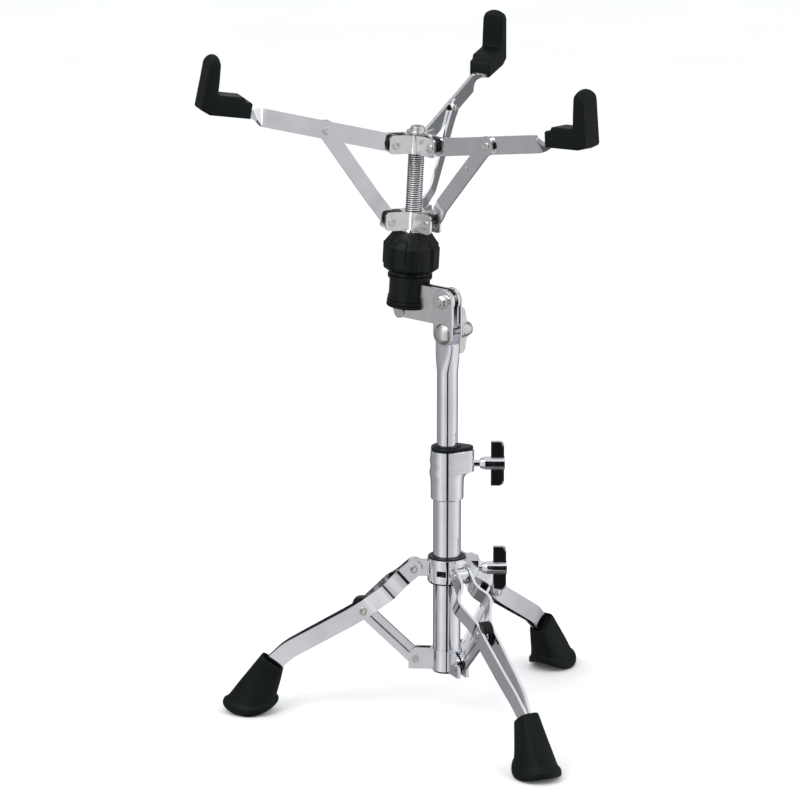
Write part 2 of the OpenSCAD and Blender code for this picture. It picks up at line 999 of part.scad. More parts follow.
// Fluted knob that raises the lower hub
module basket_knob() {
    shoulder = 42.5;
    recess_r = 30;
    knob_recess = 2.3;
    color(black_nylon)
        on_rod()
            difference() {
                rotate_extrude()
                    polygon([
                        [insert_r + press, knob_bottom], [19.8, knob_bottom], [knob_r, knob_bottom + 7],
                        [knob_r, shoulder], [17, knob_top], [rod_r + 1, knob_top],
                        [rod_r + 1, knob_top - 10], [insert_r + press, knob_top - 10]
                    ]);
                for (lobe = [0 : knob_lobes - 1])
                    rotate([0, 0, (lobe + 0.25) * 360 / knob_lobes])
                        translate([knob_r - knob_recess + recess_r, 0, knob_bottom - cut])
                            cylinder(r = recess_r, h = knob_top - knob_bottom + 2 * cut);
            }
}

// Threaded metal insert moulded into the knob
module knob_insert() {
    color(brass)
        on_rod()
            difference() {
                translate([0, 0, knob_bottom])
                    cylinder(r = insert_r, h = knob_top - 10.1 - knob_bottom);
                translate([0, 0, knob_bottom - cut])
                    cylinder(r = rod_r + fit, h = knob_top);
            }
}

// ---- Arms and braces ----

// Upright strip that turns flat over a short twist before the rubber tip
module arm(which) {
    color(chrome)
        on_arm(which)
            difference() {
                union() {
                    upright(arm_t / 2) {
                        circle(d = arm_w);
                        translate([0, -arm_w / 2])
                            square([twist_start, arm_w]);
                    }
                    hull() {
                        translate([twist_start, 0, 0])
                            cube([0.2, arm_t, arm_w], center = true);
                        translate([twist_start + twist_l, 0, 0])
                            cube([0.2, arm_w, arm_t], center = true);
                    }
                    translate([twist_start + twist_l, -arm_w / 2, -arm_t / 2])
                        cube([tip_corner_l + 3 - twist_start - twist_l, arm_w, arm_t]);
                }
                across([0, 0], rivet_r + fit, -10, 10);
                across([arm_brace_l, 0], rivet_r + press, -10, 10);
            }
}

module arm_rivet(which) {
    inner = arm_t / 2 + 0.1;
    outer = brace_side + brace_t / 2 + 0.1;
    color(zinc)
        on_arm(which) {
            across([arm_brace_l, 0], rivet_r, -outer - cut / 2, inner + cut / 2);
            across([arm_brace_l, 0], rivet_head_r, inner, inner + 1.2);
            across([arm_brace_l, 0], rivet_head_r, -outer - 1.2, -outer);
        }
}

// Rubber tip: a ledge under the drum and a wall that grips its rim
module tip(which) {
    wall_x = tip_corner_l;
    wall_top = ledge_z + tip_wall_h;
    color(black_rubber)
        on_arm(which)
            difference() {
                on_ledge()
                    upright(tip_w / 2) {
                        polygon([
                            [wall_x - ledge_l, tip_bottom], [wall_x + tip_wall_t - 9, tip_bottom],
                            [wall_x + tip_wall_t, tip_bottom + 4], [wall_x + tip_wall_t - 1.3, wall_top - 5],
                            [wall_x + 1.7, wall_top - 5], [wall_x, ledge_z],
                            [wall_x - tip_step_l, ledge_z], [wall_x - tip_step_l - 2.5, ledge_z - tip_step_h],
                            [wall_x - ledge_l, ledge_z - tip_step_h]
                        ]);
                        translate([wall_x + 7.2, wall_top - 5.4])
                            circle(r = 5.4);
                    }
                translate([wall_x - ledge_l - cut, -arm_w / 2 - 0.05, -arm_t / 2 - 0.05])
                    cube([ledge_l + 3.1 + cut, arm_w + 0.1, arm_t + 0.1]);
            }
}

// The rubber tip sits a little more level than its arm
module on_ledge() {
    root = tip_corner_l - ledge_l;
    translate([root, 0, tip_lift])
        rotate([0, tip_pitch, 0])
            translate([-root, 0, 0])
                children();
}

// Brace strip: in line with the lower hub, and set over beside the arm
module brace(which) {
    joggle_start = 16;
    joggle_end = 26;
    plan = [[-12, 0], [joggle_start, 0], [joggle_end, -brace_side], [brace_l + 12, -brace_side]];
    color(chrome)
        on_brace(which)
            difference() {
                intersection() {
                    upright(10) {
                        circle(d = brace_w);
                        translate([0, -brace_w / 2])
                            square([brace_l, brace_w]);
                        translate([brace_l, 0])
                            circle(r = 8.8);
                    }
                    translate([0, 0, -20])
                        linear_extrude(40)
                            polygon(band(plan, brace_t / 2));
                }
                across([0, 0], rivet_r + fit, -10, 10);
                across([brace_l, 0], rivet_r + fit, -10, 10);
            }
}

// ---- Assembly ----

base_tube();
base_tube_plug();
height_housing();
height_bushing();
height_clamp_pad();
stay_bracket();
stay_bracket_rivets();
height_wing_bolt();
height_wing_inlays();
tripod_collar();
collar_liner();
collar_rivets();
collar_wing_bolt();
collar_wing_inlays();
leg_strips(LEFT);  // left_leg_strips
leg_spacer(LEFT);  // left_leg_spacer
leg_rivet(LEFT);  // left_leg_rivet
foot(LEFT);  // left_foot
stay(LEFT);  // left_stay
leg_strips(FRONT);  // front_leg_strips
leg_spacer(FRONT);  // front_leg_spacer
leg_rivet(FRONT);  // front_leg_rivet
foot(FRONT);  // front_foot
stay(FRONT);  // front_stay
leg_strips(BACK);  // back_leg_strips
leg_spacer(BACK);  // back_leg_spacer
leg_rivet(BACK);  // back_leg_rivet
foot(BACK);  // back_foot
stay(BACK);  // back_stay
tube_glide();
upper_tube();
clamp_bolt();
hinge_bolt();
hinge_nut();
tilter_wing_nut();
tilter_plates();
rod_anchor();
tilter_screw();
socket_sleeve();
basket_rod();
top_hub();
top_hub_rivets();
top_screw();
lower_hub();
lower_hub_rivets();
basket_knob();
knob_insert();
arm(LEFT);  // left_arm
arm_rivet(LEFT);  // left_arm_rivet
tip(LEFT);  // left_tip
brace(LEFT);  // left_brace
arm(RIGHT);  // right_arm
arm_rivet(RIGHT);  // right_arm_rivet
tip(RIGHT);  // right_tip
brace(RIGHT);  // right_brace
arm(BACK);  // back_arm
arm_rivet(BACK);  // back_arm_rivet
tip(BACK);  // back_tip
brace(BACK);  // back_brace
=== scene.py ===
import json
from math import atan2, ceil, cos, degrees, pi, radians, sin, sqrt

import bpy
from mathutils import Matrix, Vector


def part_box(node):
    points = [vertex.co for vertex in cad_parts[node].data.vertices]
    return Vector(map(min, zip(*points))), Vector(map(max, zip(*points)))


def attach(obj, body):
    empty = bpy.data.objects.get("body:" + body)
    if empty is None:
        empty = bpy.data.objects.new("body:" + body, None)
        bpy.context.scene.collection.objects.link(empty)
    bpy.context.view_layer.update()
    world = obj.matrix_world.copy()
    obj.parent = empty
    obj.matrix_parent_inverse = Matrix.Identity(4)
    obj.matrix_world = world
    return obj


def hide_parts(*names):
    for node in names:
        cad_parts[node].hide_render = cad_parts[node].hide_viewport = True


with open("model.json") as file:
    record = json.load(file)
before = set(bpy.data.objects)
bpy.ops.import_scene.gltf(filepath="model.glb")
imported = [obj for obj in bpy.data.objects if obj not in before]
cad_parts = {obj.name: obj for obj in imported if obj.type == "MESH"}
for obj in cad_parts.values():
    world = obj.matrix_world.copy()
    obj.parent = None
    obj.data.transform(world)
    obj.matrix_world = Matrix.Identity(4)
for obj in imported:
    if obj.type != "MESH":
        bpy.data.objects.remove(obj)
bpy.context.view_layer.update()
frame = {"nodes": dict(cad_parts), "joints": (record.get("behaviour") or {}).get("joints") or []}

# A chromed snare drum stand. Local shapes are drawn in millimetres; every local frame
# below turns them into metres in the row's own frame.
MM = 0.001

# ---- Camera ----
AIM = Vector((-0.0427, 0, 0.300))
VIEW_DISTANCE = 3.635
VIEW_TILT = 14.5
LENS = 181.5

# ---- Driving sizes, in millimetres ----
STRIP_T = 2.4
STRIP_W = 16
STRIP_SPREAD = 6.1
STRIP_BOW = 17
RIVET_R = 3.9
ARM_T = 3
ARM_W = 16
BRACE_T = 2.4
BRACE_W = 14
BRACE_EYE_R = 8.8
TIP_CORNER = 175.5
LEDGE_L = 33
LEDGE_Z = 13.5
TIP_W = 20
TIP_WALL_H = 34
TIP_WALL_T = 14
TIP_BOTTOM = -4.9
TWIST_START = 120
TWIST_L = 22
TIP_PITCH = 5.5
TIP_LIFT = 2.8
HUB_SPACING = 70.5
UPPER_R = 9.525
UPPER_WALL = 1.5
FLARE_START = -67
FLARE_END = -40
FLAT_TOP = -38.4
FLAT_HALF_X = 6.6
FLAT_HALF_Y = 10.8
EAR_R = 11.25
EAR_INNER = 5.2
EAR_OUTER = 7.3
CLAMP_DROP = 30
M6_HOLE_R = 3.03
BLOCK_REACH = 24.5
BLOCK_NOSE = 8.6
BORE_R = 12.74
ROD_R = 7.5
THREAD_PITCH = 2
THREAD_DEPTH = 0.75
KNOB_R = 26.3
KNOB_LOBES = 6
SHIN_SLOPE = 30.3
SHIN_L = 81.9

joints = {j["name"]: j for j in frame["joints"]}
LEGS = ("left", "front", "back")
ARMS = ("left", "right", "back")


# ---- Local frames, all taken from the joints ----

def pivot(joint):
    return Vector(joints[joint]["pos_m"])


def axis(joint):
    return Vector(joints[joint]["axis"]).normalized()


def box_low(node, side):
    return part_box(node)[0][side]


def local_frame(origin, x, y, z):
    """Frame with unit axes x, y and z at origin, in millimetres."""
    turn = Matrix((x, y, z)).transposed().to_4x4()
    return Matrix.Translation(origin) @ turn @ Matrix.Scale(MM, 4)


UP = Vector((0, 0, 1))
HINGE = pivot("basket_tilt")
HINGE_X = axis("basket_tilt")
ROD_Z = axis("lower_hub_slide")
KNOB_MARK = 30
ROD_ORIGIN = pivot("knob_turn") - ROD_Z * KNOB_MARK * MM
COLUMN = local_frame(Vector(), Vector((1, 0, 0)), Vector((0, 1, 0)), UP)
AT_HINGE = local_frame(HINGE, HINGE_X, UP.cross(HINGE_X), UP)
ON_ROD = local_frame(ROD_ORIGIN, HINGE_X, ROD_Z.cross(HINGE_X), ROD_Z)


def leg_frame(which):
    side = axis(which + "_leg_swing")
    return local_frame(Vector(), side.cross(UP), side, UP)


def arm_frame(which):
    """X along the arm from its pivot, Y across it, Z square to both."""
    start = pivot(which + "_arm_rise")
    along = (pivot(which + "_brace_swing") - start).normalized()
    side = -axis(which + "_arm_rise")
    return local_frame(start, along, side, along.cross(side))


def brace_foot(which):
    return pivot(which + "_arm_rise") - ROD_Z * HUB_SPACING * MM


def brace_frame(which):
    start = brace_foot(which)
    along = (pivot(which + "_brace_swing") - start).normalized()
    side = -axis(which + "_arm_rise")
    return local_frame(start, along, side, along.cross(side))


def local_point(frame_matrix, point):
    return frame_matrix.inverted() @ point


# ---- Material nodes ----

def new_material(name):
    material = bpy.data.materials.new(name)
    material.use_nodes = True
    tree = material.node_tree
    return material, tree, tree.nodes["Principled BSDF"]


def noise_node(tree, scale, detail=4, stretch=(1, 1, 1)):
    """Noise over the object's own coordinates, stretched as asked."""
    coords = tree.nodes.new("ShaderNodeTexCoord")
    mapping = tree.nodes.new("ShaderNodeMapping")
    mapping.inputs["Scale"].default_value = stretch
    noise = tree.nodes.new("ShaderNodeTexNoise")
    noise.inputs["Scale"].default_value = scale
    noise.inputs["Detail"].default_value = detail
    tree.links.new(coords.outputs["Object"], mapping.inputs["Vector"])
    tree.links.new(mapping.outputs["Vector"], noise.inputs["Vector"])
    return noise.outputs["Fac"]


def spread(tree, value, low, high, from_low=0.3, from_high=0.7):
    """A noise value brought into the range low to high."""
    node = tree.nodes.new("ShaderNodeMapRange")
    node.inputs["From Min"].default_value = from_low
    node.inputs["From Max"].default_value = from_high
    node.inputs["To Min"].default_value = low
    node.inputs["To Max"].default_value = high
    tree.links.new(value, node.inputs["Value"])
    return node.outputs["Result"]


def two_colours(tree, value, dark, light, low=0.35, high=0.65):
    ramp = tree.nodes.new("ShaderNodeValToRGB")
    ramp.color_ramp.elements[0].position = low
    ramp.color_ramp.elements[0].color = (*dark, 1)
    ramp.color_ramp.elements[1].position = high
    ramp.color_ramp.elements[1].color = (*light, 1)
    tree.links.new(value, ramp.inputs["Fac"])
    return ramp.outputs["Color"]


def add_bump(tree, shader, height, strength, distance):
    bump = tree.nodes.new("ShaderNodeBump")
    bump.inputs["Strength"].default_value = strength
    bump.inputs["Distance"].default_value = distance
    tree.links.new(height, bump.inputs["Height"])
    tree.links.new(bump.outputs["Normal"], shader.inputs["Normal"])


def chrome_material():
    """Polished chrome plate: faint wiping marks and a very slight waviness."""
    material, tree, shader = new_material("chrome_plate")
    shader.inputs["Metallic"].default_value = 1
    smudges = noise_node(tree, 38, 6)
    tone = two_colours(tree, smudges, (0.80, 0.80, 0.84), (0.88, 0.88, 0.91))
    tree.links.new(tone, shader.inputs["Base Color"])
    wiping = noise_node(tree, 140, 5, (1, 1, 0.25))
    tree.links.new(spread(tree, wiping, 0.045, 0.13), shader.inputs["Roughness"])
    add_bump(tree, shader, noise_node(tree, 55, 2), 0.06, 0.0006)
    return material


def satin_metal(name, dark, light, low, high, stretch=(1, 1, 1)):
    """Nickel or zinc plate on cast, pressed and turned hardware, and the darker metal used as painted shade
    in the thread roots.
    """
    material, tree, shader = new_material(name)
    shader.inputs["Metallic"].default_value = 1
    cloud = noise_node(tree, 120, 6)
    tree.links.new(two_colours(tree, cloud, dark, light), shader.inputs["Base Color"])
    grain = noise_node(tree, 900, 4, stretch)
    tree.links.new(spread(tree, grain, low, high), shader.inputs["Roughness"])
    add_bump(tree, shader, grain, 0.12, 0.0002)
    return material


def black_moulding(name, tone, low, high, grain_scale, bump, specular):
    """Black moulded rubber or nylon with a fine spark texture and handling marks."""
    material, tree, shader = new_material(name)
    handling = noise_node(tree, 45, 5)
    lighter = tuple(1.7 * c for c in tone)
    tree.links.new(two_colours(tree, handling, tone, lighter), shader.inputs["Base Color"])
    tree.links.new(spread(tree, handling, low, high), shader.inputs["Roughness"])
    shader.inputs["Specular IOR Level"].default_value = specular
    add_bump(tree, shader, noise_node(tree, grain_scale, 3), bump, 0.0003)
    return material


def brass_material():
    return satin_metal("turned_brass", (0.62, 0.45, 0.18), (0.76, 0.58, 0.28), 0.18, 0.34)


CHROME = chrome_material()
NICKEL = satin_metal("satin_nickel", (0.66, 0.65, 0.62), (0.78, 0.77, 0.74), 0.16, 0.34)
HUB_NICKEL = satin_metal("hub_nickel", (0.82, 0.82, 0.81), (0.90, 0.90, 0.90), 0.14, 0.26)
RUBBER = black_moulding("moulded_rubber", (0.0011, 0.0024, 0.0026), 0.40, 0.58, 1500, 0.3, 0.17)
NYLON = black_moulding("moulded_nylon", (0.0014, 0.0026, 0.0028), 0.30, 0.46, 1900, 0.2, 0.22)
# Painted shade: a dark metal laid on the thread roots in place of the shade that falls in the thread's
# grooves.
THREAD_ROOT_SHADE = satin_metal("thread_root_painted_shade", (0.10, 0.10, 0.10), (0.18, 0.18, 0.18), 0.3, 0.5)
INLAY = black_moulding("inlay_black", (0.0012, 0.0018, 0.002), 0.22, 0.34, 2200, 0.1, 0.2)
BRASS = brass_material()


# ---- Mesh building ----

def make_piece(name, shape, frame_matrix, material, body, replaces=(), bevel=0, subdivide=0, crease=40,
               hole=None):
    """One object from (points, faces) drawn in a local frame, riding on a body."""
    points, faces = shape
    mesh = bpy.data.meshes.new(name)
    mesh.from_pydata([frame_matrix @ Vector(p) for p in points], [], faces)
    mesh.validate()
    mesh.shade_smooth()
    mesh.set_sharp_from_angle(angle=radians(crease))
    mesh.materials.append(material)
    piece = bpy.data.objects.new(name, mesh)
    bpy.context.scene.collection.objects.link(piece)
    if hole:
        cut_away(piece, hole, frame_matrix, crease)
    if bevel:
        round_edges(piece, bevel)
    if subdivide:
        smooth = piece.modifiers.new("smooth", "SUBSURF")
        smooth.levels = subdivide
        smooth.render_levels = subdivide
    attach(piece, body)
    if replaces:
        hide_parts(*replaces)
    return piece


def cut_away(piece, hole, frame_matrix, crease):
    """Takes the shape called hole out of a piece's mesh."""
    points, faces = hole
    cutter_mesh = bpy.data.meshes.new("cutter")
    cutter_mesh.from_pydata([frame_matrix @ Vector(p) for p in points], [], faces)
    cutter = bpy.data.objects.new("cutter", cutter_mesh)
    bpy.context.scene.collection.objects.link(cutter)
    boolean = piece.modifiers.new("hole", "BOOLEAN")
    boolean.operation = "DIFFERENCE"
    boolean.solver = "EXACT"
    boolean.object = cutter
    bpy.context.view_layer.update()
    drilled = bpy.data.meshes.new_from_object(piece.evaluated_get(bpy.context.evaluated_depsgraph_get()))
    piece.modifiers.remove(boolean)
    drilled.name = piece.name
    piece.data = drilled
    piece.data.shade_smooth()
    piece.data.set_sharp_from_angle(angle=radians(crease))
    bpy.data.objects.remove(cutter)


def round_edges(piece, width, segments=2, angle=35):
    bevel = piece.modifiers.new("rounded_edges", "BEVEL")
    bevel.width = width * MM
    bevel.segments = segments
    bevel.limit_method = "ANGLE"
    bevel.angle_limit = radians(angle)
    bevel.use_clamp_overlap = True
    normals = piece.modifiers.new("even_normals", "WEIGHTED_NORMAL")
    normals.keep_sharp = False


def joined(*shapes):
    """Several (points, faces) shapes as one."""
    points = []
    faces = []
    for some_points, some_faces in shapes:
        first = len(points)
        points.extend(some_points)
        faces.extend([[first + i for i in face] for face in some_faces])
    return points, faces


def placed(shape, matrix):
    points, faces = shape
    moved = [tuple(matrix @ Vector(p)) for p in points]
    if matrix.determinant() < 0:
        faces = [list(reversed(face)) for face in faces]
    return moved, faces


def tube_of_rings(rings, closed_ends=True):
    """Skin over equal rings of points, with a flat cap on each end."""
    count = len(rings[0])
    points = [p for ring in rings for p in ring]
    faces = []
    for r in range(len(rings) - 1):
        for i in range(count):
            j = (i + 1) % count
            faces.append([r * count + i, r * count + j, (r + 1) * count + j, (r + 1) * count + i])
    if closed_ends:
        faces.append(list(range(count - 1, -1, -1)))
        faces.append([(len(rings) - 1) * count + i for i in range(count)])
    return points, faces


def lathe(profile, steps=64, radius_at=None):
    """Solid of revolution about Z. The profile runs up the outside from bottom to top;
    radius_at(r, z, turn) may vary the radius round the axis."""
    rings = []
    for r, z in profile:
        ring = []
        for i in range(steps):
            turn = 2 * pi * i / steps
            reach = radius_at(r, z, turn) if radius_at else r
            ring.append((reach * cos(turn), reach * sin(turn), z))
        rings.append(ring)
    return tube_of_rings(rings)


def ring_lathe(profile, steps=64):
    """Solid ring: the profile is a closed outline that stays off the axis."""
    count = len(profile)
    points = []
    faces = []
    for i in range(steps):
        turn = 2 * pi * i / steps
        points.extend([(r * cos(turn), r * sin(turn), z) for r, z in profile])
    for i in range(steps):
        for k in range(count):
            a = i * count + k
            b = i * count + (k + 1) % count
            c = ((i + 1) % steps) * count + (k + 1) % count
            d = ((i + 1) % steps) * count + k
            faces.append([a, d, c, b])
    return points, faces


def arc(centre, r, start, end, steps=8):
    """Points on an arc, with angles in degrees."""
    turns = [radians(start + (end - start) * i / steps) for i in range(steps + 1)]
    return [(centre[0] + r * cos(t), centre[1] + r * sin(t)) for t in turns]


def across(outline, low, high):
    """An outline in X and Z, given thickness from y = low to y = high."""
    rings = [[(x, y, z) for x, z in outline] for y in (high, low)]
    return tube_of_rings(rings)


def along_y(shape):
    """Turns a shape drawn about Z so that its axis runs along +Y."""
    return placed(shape, Matrix.Rotation(-pi / 2, 4, "X"))


def along_x(shape):
    return placed(shape, Matrix.Rotation(pi / 2, 4, "Y"))


def rounded_path(points, reach, steps=7):
    """Bends of a 3-D line as smooth curves that start reach before each corner."""
    points = [Vector(p) for p in points]
    path = [points[0]]
    for before, corner, after in zip(points, points[1:], points[2:]):
        back = before - corner
        ahead = after - corner
        size = min(reach, 0.48 * back.length, 0.48 * ahead.length)
        start = corner + back.normalized() * size
        end = corner + ahead.normalized() * size
        for i in range(steps + 1):
            t = i / steps
            path.append(start * (1 - t) ** 2 + corner * 2 * t * (1 - t) + end * t ** 2)
    path.append(points[-1])
    return path


def smoothstep(t):
    t = max(0.0, min(1.0, t))
    return t * t * (3 - 2 * t)


def strip(path, half_w, half_t, twist_at=None):
    """Flat bar swept along a path. Its wide side stands in the XZ plane, half_w(station)
    gives its half width, and twist_at(station) turns it about its own length."""
    rings = []
    station = 0
    for i, centre in enumerate(path):
        if i:
            station += (centre - path[i - 1]).length
        before = path[max(i - 1, 0)]
        after = path[min(i + 1, len(path) - 1)]
        heading = (after - before).normalized()
        flat = Vector((heading.x, 0, heading.z)).normalized()
        wide = Vector((-flat.z, 0, flat.x))
        thick = wide.cross(heading).normalized()
        if twist_at:
            turn = Matrix.Rotation(twist_at(station), 3, heading)
            wide = turn @ wide
            thick = turn @ thick
        w = wide * half_w(station)
        t = thick * half_t
        rings.append([centre + w + t, centre - w + t, centre - w - t, centre + w - t])
    return tube_of_rings([[tuple(p) for p in reversed(ring)] for ring in rings])


def path_length(path):
    return sum((b - a).length for a, b in zip(path, path[1:]))


def end_stations(r, steps=7):
    """Distances from a round end at which to place rings, closer towards the end."""
    return [r * (1 - cos(radians(90 * i / steps))) for i in range(1, steps + 1)]


def round_ended(path, r_start, r_end):
    """Adds rings near both ends of a line for its rounded ends."""
    total = path_length(path)
    wanted = [0.02] + end_stations(r_start)
    if r_end:
        wanted += [total - 0.02] + [total - s for s in end_stations(r_end)]
    stations = [0]
    for a, b in zip(path, path[1:]):
        stations.append(stations[-1] + (b - a).length)
    both = sorted(set([round(s, 4) for s in stations + wanted if 0 <= s <= total]))
    result = []
    for s in both:
        i = max(k for k in range(len(stations)) if stations[k] <= s + 1e-6)
        i = min(i, len(path) - 2)
        span = max(stations[i + 1] - stations[i], 1e-9)
        result.append(path[i].lerp(path[i + 1], min(1, (s - stations[i]) / span)))
    return result


def half_width(w, total, r_start, r_end):
    """Half width of a bar with round ends, as a function of the station."""
    def at(s):
        value = w
        if s < r_start:
            value = min(value, w * sqrt(max(1e-4, 1 - (1 - s / r_start) ** 2)))
        if r_end and total - s < r_end:
            value = min(value, w * sqrt(max(1e-4, 1 - (1 - (total - s) / r_end) ** 2)))
        return value
    return at


# ---- Rivets ----

def rivet_head(r, h, hollow):
    """Domed or hollow-ended rivet head standing on z = 0."""
    outside = [(r, 0), (r, h * 0.35)] + arc((r - h * 0.65, h * 0.35), h * 0.65, 0, 70, 5)
    if hollow:
        rim = r * 0.48
        inside = [(rim, h * 0.98), (rim * 0.82, h * 0.8), (rim * 0.74, h * 0.15), (0.02, h * 0.05)]
    else:
        inside = [(r * 0.5, h * 1.12), (0.02, h * 1.22)]
    return lathe(outside + inside, 40)


def rivet(at, low, high, r=RIVET_R, h=1.1, hollow_side=1, pin_r=2.5):
    """Rivet across the upright plane at (x, z), with a head outside each of low and high."""
    move = Matrix.Translation((at[0], 0, at[1]))
    front = placed(along_y(rivet_head(r, h, hollow_side > 0)), Matrix.Translation((0, high, 0)))
    back_head = along_y(rivet_head(r, h, hollow_side < 0))
    flip = Matrix.Translation((0, low, 0)) @ Matrix.Rotation(pi, 4, "Z")
    shank = along_y(lathe([(pin_r, low), (pin_r, high)], 32))
    return placed(joined(front, placed(back_head, flip), shank), move)


# ---- Tripod ----

def leg_points(which):
    """Collar pivot, knee, ankle and toe of a leg as (distance, height)."""
    base = leg_frame(which)
    start = local_point(base, pivot(which + "_leg_swing"))
    knee = local_point(base, pivot(which + "_stay_swing"))
    ankle = (knee.x + SHIN_L * cos(radians(SHIN_SLOPE)), knee.z - SHIN_L * sin(radians(SHIN_SLOPE)))
    toe = (ankle[0] + 16, ankle[1] - 16)
    return (start.x, start.z), (knee.x, knee.z), ankle, toe


def height_on(line, x):
    """Height of a bent line at distance x."""
    for (x0, z0), (x1, z1) in zip(line, line[1:]):
        if x <= x1 or (x1, z1) == line[-1]:
            return z0 + (z1 - z0) * (x - x0) / (x1 - x0)


def leg_strips(which):
    line = leg_points(which)
    collar, knee, ankle, toe = line
    fall = atan2(collar[1] - knee[1], knee[0] - collar[0])
    top_x = collar[0] - STRIP_W / 2 * cos(fall)
    close = STRIP_T / 2 + 0.15
    plan = [(top_x, STRIP_SPREAD), (collar[0] + 12, STRIP_SPREAD), (collar[0] + 21.7, STRIP_BOW),
            (knee[0] - 4.6, STRIP_SPREAD), (knee[0] + 10, STRIP_SPREAD)]
    plan += [(ankle[0] - 22, STRIP_SPREAD - 0.9), (ankle[0] - 2, STRIP_SPREAD - 2.0), (toe[0], close)]
    shapes = []
    for side in (-1, 1):
        control = [(x, side * y, height_on(line, x)) for x, y in plan]
        path = rounded_path(control, 6)
        path = round_ended(path, STRIP_W / 2, 0)
        width = half_width(STRIP_W / 2, path_length(path), STRIP_W / 2, 0)
        shapes.append(strip(path, width, STRIP_T / 2))
    make_piece(which + "_leg_bars", joined(*shapes), leg_frame(which), CHROME, which + "_leg",
               [which + "_leg_strips"], bevel=0.35)


def leg_rivets(which):
    line = leg_points(which)
    outside = STRIP_SPREAD + STRIP_T / 2 + 0.05
    make_piece(which + "_knee_rivet", rivet(line[1], -outside, outside), leg_frame(which), NICKEL,
               which + "_leg", [which + "_leg_rivet"])


def collar_rivets():
    shapes = []
    outside = STRIP_SPREAD + STRIP_T / 2 + 0.05
    for which in LEGS:
        to_column = COLUMN.inverted() @ leg_frame(which)
        shapes.append(placed(rivet(leg_points(which)[0], -outside, outside), to_column))
    make_piece("collar_pivot_rivets", joined(*shapes), COLUMN, NICKEL, "collar", ["collar_rivets"])


FOOT_RISE_INNER = 8.5
FOOT_RISE_OUTER = 5.0
FOOT_SECTIONS = [
    # inner end (distance, height), outer end (distance, height), half width, squareness, rocker
    ((158.0, 0.0), (204.0, 0.0), 19.4, 2.0, 1.0),
    ((155.8, 0.9), (206.4, 0.9), 20.9, 2.0, 1.0),
    ((155.0, 3.0), (207.4, 3.0), 21.4, 2.0, 1.0),
    ((155.1, 6.6), (206.4, 7.2), 21.0, 2.0, 0.95),
    ((155.7, 7.9), (204.9, 8.7), 20.1, 2.0, 0.9),
    ((156.9, 8.4), (202.4, 9.5), 18.9, 2.0, 0.85),
    ((156.4, 14.0), (198.6, 16.4), 17.2, 2.1, 0.5),
    ((155.0, 22.0), (191.8, 27.0), 14.4, 2.5, 0.2),
    ((152.8, 31.0), (183.6, 38.0), 11.9, 3.0, 0.0),
    ((151.2, 39.0), (173.8, 50.6), 9.9, 3.6, 0.0),
    ((150.6, 41.6), (170.8, 54.6), 9.3, 3.8, 0.0),
    ((151.0, 42.8), (169.8, 55.4), 8.5, 3.8, 0.0),
]


def foot_ring(inner, outer, half, square, rocker, steps=48):
    """Oval between two points of the upright plane, with ends raised by the rocker."""
    middle = Vector(((inner[0] + outer[0]) / 2, 0, (inner[1] + outer[1]) / 2))
    reach = Vector((outer[0] - inner[0], 0, outer[1] - inner[1])) / 2
    ring = []
    for i in range(steps):
        turn = 2 * pi * i / steps
        c, s = cos(turn), sin(turn)
        x = abs(c) ** (2 / square) * (1 if c >= 0 else -1)
        y = abs(s) ** (2 / square) * (1 if s >= 0 else -1)
        rise = rocker * x * x * (FOOT_RISE_OUTER if x > 0 else FOOT_RISE_INNER)
        ring.append(tuple(middle + reach * x + Vector((0, half * y, rise))))
    return ring


def foot(which):
    """Rubber boot: flat oval sole with a lip, drawn up to the mouth that takes the bars."""
    rings = [foot_ring(*section) for section in FOOT_SECTIONS]
    inner, outer, half, square, rocker = FOOT_SECTIONS[-1]
    down = Vector((3.2, 0, -4.8))
    for shrink, drop in ((1.1, 0.05), (1.5, 0.5), (1.7, 1.0)):
        a = Vector((inner[0] + shrink, 0, inner[1])) + down * drop
        b = Vector((outer[0] - shrink, 0, outer[1])) + down * drop
        rings.append(foot_ring((a.x, a.z), (b.x, b.z), half - shrink, square, rocker))
    make_piece(which + "_boot", tube_of_rings(rings), leg_frame(which), RUBBER, which + "_leg",
               [which + "_foot"], subdivide=1, crease=60)


# ---- Height clamp ----

def teardrop(r, reach, nose, z, steps=96):
    """Plan ring round the axis, drawn out along +X to a smaller round end at reach."""
    ring = []
    for i in range(steps):
        turn = 2 * pi * (i + 0.5) / steps
        c, s = cos(turn), sin(turn)
        if reach > r and (reach - nose) * c + nose > r:
            ring.append((reach - nose + nose * c, nose * s, z))
        else:
            ring.append((r * c, r * s, z))
    return ring


def looped(rings):
    """Skin over rings that close on themselves, for a part with a bore."""
    points, faces = tube_of_rings(rings, closed_ends=False)
    count = len(rings[0])
    last = (len(rings) - 1) * count
    for i in range(count):
        j = (i + 1) % count
        faces.append([last + i, last + j, j, i])
    return points, faces


def block_reach(z):
    """How far the clamp block stands out at each height: full above, hollowed out below."""
    fillet, foot = 10, 223.5
    if z >= foot + fillet:
        return BLOCK_REACH
    if z <= foot:
        return 0
    return BLOCK_REACH - sqrt(fillet ** 2 - (z - foot) ** 2)


